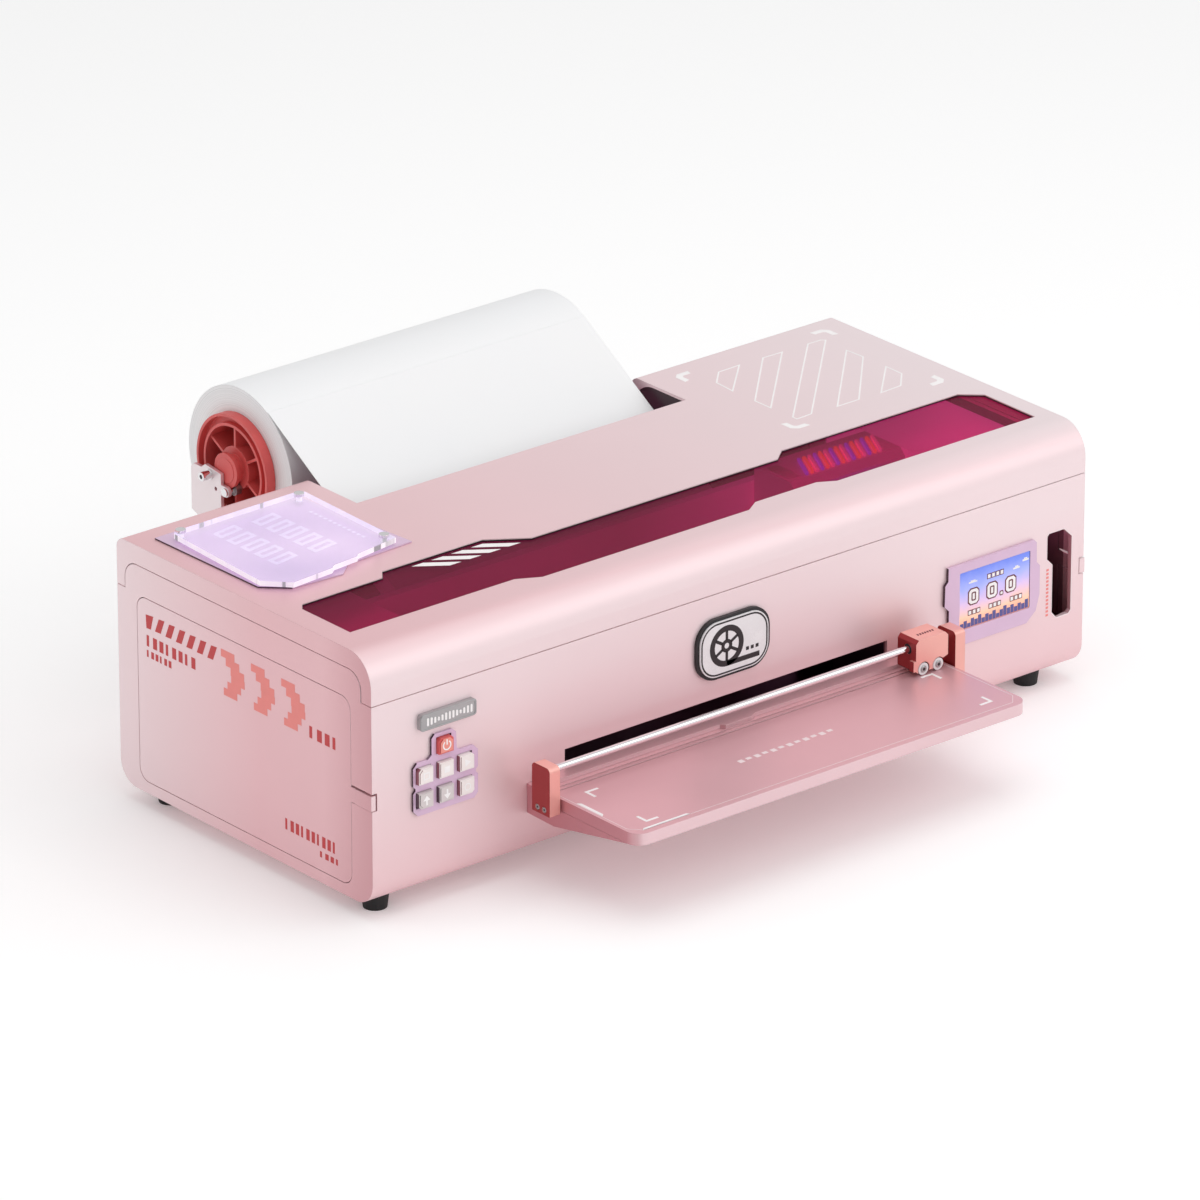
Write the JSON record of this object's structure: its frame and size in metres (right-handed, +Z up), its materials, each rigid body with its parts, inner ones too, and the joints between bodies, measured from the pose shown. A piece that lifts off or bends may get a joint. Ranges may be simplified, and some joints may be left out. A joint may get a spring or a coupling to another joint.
{
  "type": "film printer",
  "caption": "Desktop roll-fed film printer with hinged window lid, rear film roll on a stand, front cutting board with a cutter sliding on a rail, keypad and small display.",
  "frame": {"origin": "centre of the bounding box on the plane the feet stand on", "axes": "+X to the right along the body, seen from the front; +Y from the cutting board at the front to the film roll at the rear; +Z up"},
  "size_m": [0.742, 0.61, 0.272],
  "materials": {
    "pink_shell": "satin",
    "pink_plate": "satin",
    "coral": "satin",
    "coral_plastic": "matte",
    "rubber": "matte",
    "smoke_window": "gloss",
    "clear_cover": "gloss",
    "lilac": "gloss",
    "chrome": "polished",
    "steel": "brushed",
    "black_plastic": "matte",
    "grey_plastic": "matte",
    "pink_plastic": "matte",
    "white_plastic": "gloss",
    "display": "gloss",
    "film": "satin",
    "core": "matte",
    "maroon": "satin",
    "inner_metal": "satin",
    "roller_rubber": "matte",
    "carriage_plastic": "matte",
    "ink": "gloss",
    "bottle": "gloss",
    "aluminium": "brushed",
    "circuit_board": "satin"
  },
  "bodies": {
    "base": {"lower_housing": "pink_shell", "door_pins": "steel", "rubber_feet": "rubber", "hinge_base": "steel", "keypad_bezel": "lilac", "name_strip": "steel", "badge_base": "black_plastic", "badge_face": "white_plastic", "display_bezel": "lilac", "display_screen": "display", "cutting_board": "pink_plate", "board_bracket": "pink_plate", "film_guide": "pink_plate", "rail_block_left": "coral", "rail_block_right": "coral", "rail_screws": "black_plastic", "cutter_rail": "chrome", "roll_stand_left": "pink_plate", "roll_stand_right": "pink_plate", "roller_axles": "chrome", "film_web": "film", "chassis": "inner_metal", "platen": "maroon", "guide_shaft": "chrome", "capping_station": "black_plastic", "waste_bottle": "bottle", "main_board": "circuit_board", "power_supply": "aluminium", "power_inlet": "black_plastic"},
    "lid": {"lid_shell": "pink_shell", "lid_window": "smoke_window", "hinge_lid": "steel", "nameplate_base": "lilac", "nameplate_cover": "clear_cover", "nameplate_standoffs": "chrome"},
    "door_left": {"service_door_left": "pink_shell"},
    "door_right": {"service_door_right": "pink_shell"},
    "cutter_carriage": {"cutter_carriage": "coral"},
    "wheel_left": {"cutter_wheel_left": "white_plastic"},
    "wheel_right": {"cutter_wheel_right": "white_plastic"},
    "blade": {"cutter_blade": "steel"},
    "roll": {"film_roll": "film", "film_core": "core", "flange_left": "coral_plastic", "flange_right": "coral_plastic", "roll_shaft": "pink_plate"},
    "rollers_front": {"support_rollers_front": "steel"},
    "rollers_rear": {"support_rollers_rear": "steel"},
    "feed_roller": {"feed_roller": "roller_rubber"},
    "pinch_rollers": {"pinch_rollers": "roller_rubber"},
    "print_carriage": {"print_carriage": "carriage_plastic", "ink_dampers": "ink"},
    "key_power": {"key_power": "coral_plastic"},
    "key_upper_left": {"key_upper_left": "pink_plastic"},
    "key_upper_middle": {"key_upper_middle": "pink_plastic"},
    "key_upper_right": {"key_upper_right": "pink_plastic"},
    "key_lower_left": {"key_lower_left": "grey_plastic"},
    "key_lower_middle": {"key_lower_middle": "grey_plastic"},
    "key_lower_right": {"key_lower_right": "pink_plastic"}
  },
  "joints": [
    {"name": "lid_open", "type": "hinge", "parent": "base", "child": "lid", "pos_m": [0.0002, 0.1521, 0.184], "axis": [-1, 0, 0], "range_deg": [0, 60]},
    {"name": "door_left_open", "type": "hinge", "parent": "base", "child": "door_left", "pos_m": [-0.3686, 0.1114, 0.1032], "axis": [0, 0, -1], "range_deg": [0, 105]},
    {"name": "door_right_open", "type": "hinge", "parent": "base", "child": "door_right", "pos_m": [0.3674, 0.1114, 0.1032], "axis": [0, 0, 1], "range_deg": [0, 105]},
    {"name": "cutter_slide", "type": "slide", "parent": "base", "child": "cutter_carriage", "axis": [-1, 0, 0], "range_m": [-0.005, 0.36]},
    {"name": "wheel_left_spin", "type": "hinge", "parent": "cutter_carriage", "child": "wheel_left", "pos_m": [0.1598, -0.2106, 0.0826], "axis": [0, -1, 0], "continuous": true},
    {"name": "wheel_right_spin", "type": "hinge", "parent": "cutter_carriage", "child": "wheel_right", "pos_m": [0.1755, -0.2106, 0.0826], "axis": [0, -1, 0], "continuous": true},
    {"name": "blade_spin", "type": "hinge", "parent": "cutter_carriage", "child": "blade", "pos_m": [0.1674, -0.1939, 0.0826], "axis": [0, -1, 0], "continuous": true},
    {"name": "roll_spin", "type": "hinge", "parent": "base", "child": "roll", "pos_m": [-0.0126, 0.2374, 0.2044], "axis": [1, 0, 0], "continuous": true},
    {"name": "rollers_front_spin", "type": "hinge", "parent": "base", "child": "rollers_front", "pos_m": [-0.0126, 0.2329, 0.188], "axis": [1, 0, 0], "continuous": true},
    {"name": "rollers_rear_spin", "type": "hinge", "parent": "base", "child": "rollers_rear", "pos_m": [-0.0126, 0.2531, 0.1974], "axis": [1, 0, 0], "continuous": true},
    {"name": "feed_spin", "type": "hinge", "parent": "base", "child": "feed_roller", "pos_m": [0.0044, 0.00094, 0.1295], "axis": [1, 0, 0], "continuous": true},
    {"name": "pinch_spin", "type": "hinge", "parent": "base", "child": "pinch_rollers", "pos_m": [0.0044, 0.00094, 0.1505], "axis": [1, 0, 0], "continuous": true},
    {"name": "print_slide", "type": "slide", "parent": "base", "child": "print_carriage", "axis": [1, 0, 0], "range_m": [-0.395, 0.006]},
    {"name": "key_power_press", "type": "slide", "parent": "base", "child": "key_power", "axis": [0, 1, 0], "range_m": [0, 0.0014], "stiffness_N_per_m": 400},
    {"name": "key_upper_left_press", "type": "slide", "parent": "base", "child": "key_upper_left", "axis": [0, 1, 0], "range_m": [0, 0.0014], "stiffness_N_per_m": 400},
    {"name": "key_upper_middle_press", "type": "slide", "parent": "base", "child": "key_upper_middle", "axis": [0, 1, 0], "range_m": [0, 0.0014], "stiffness_N_per_m": 400},
    {"name": "key_upper_right_press", "type": "slide", "parent": "base", "child": "key_upper_right", "axis": [0, 1, 0], "range_m": [0, 0.0014], "stiffness_N_per_m": 400},
    {"name": "key_lower_left_press", "type": "slide", "parent": "base", "child": "key_lower_left", "axis": [0, 1, 0], "range_m": [0, 0.0014], "stiffness_N_per_m": 400},
    {"name": "key_lower_middle_press", "type": "slide", "parent": "base", "child": "key_lower_middle", "axis": [0, 1, 0], "range_m": [0, 0.0014], "stiffness_N_per_m": 400},
    {"name": "key_lower_right_press", "type": "slide", "parent": "base", "child": "key_lower_right", "axis": [0, 1, 0], "range_m": [0, 0.0014], "stiffness_N_per_m": 400}
  ],
  "couplings": [
    {"joint": "wheel_left_spin", "follows": "cutter_slide", "rad_per_m": 192.31},
    {"joint": "wheel_right_spin", "follows": "cutter_slide", "rad_per_m": 192.31},
    {"joint": "blade_spin", "follows": "cutter_slide", "rad_per_m": 161.29},
    {"joint": "rollers_front_spin", "follows": "roll_spin", "ratio": -2.5},
    {"joint": "rollers_rear_spin", "follows": "roll_spin", "ratio": -2.5},
    {"joint": "feed_spin", "follows": "roll_spin", "ratio": 6.76},
    {"joint": "pinch_spin", "follows": "roll_spin", "ratio": -6.76}
  ]
}
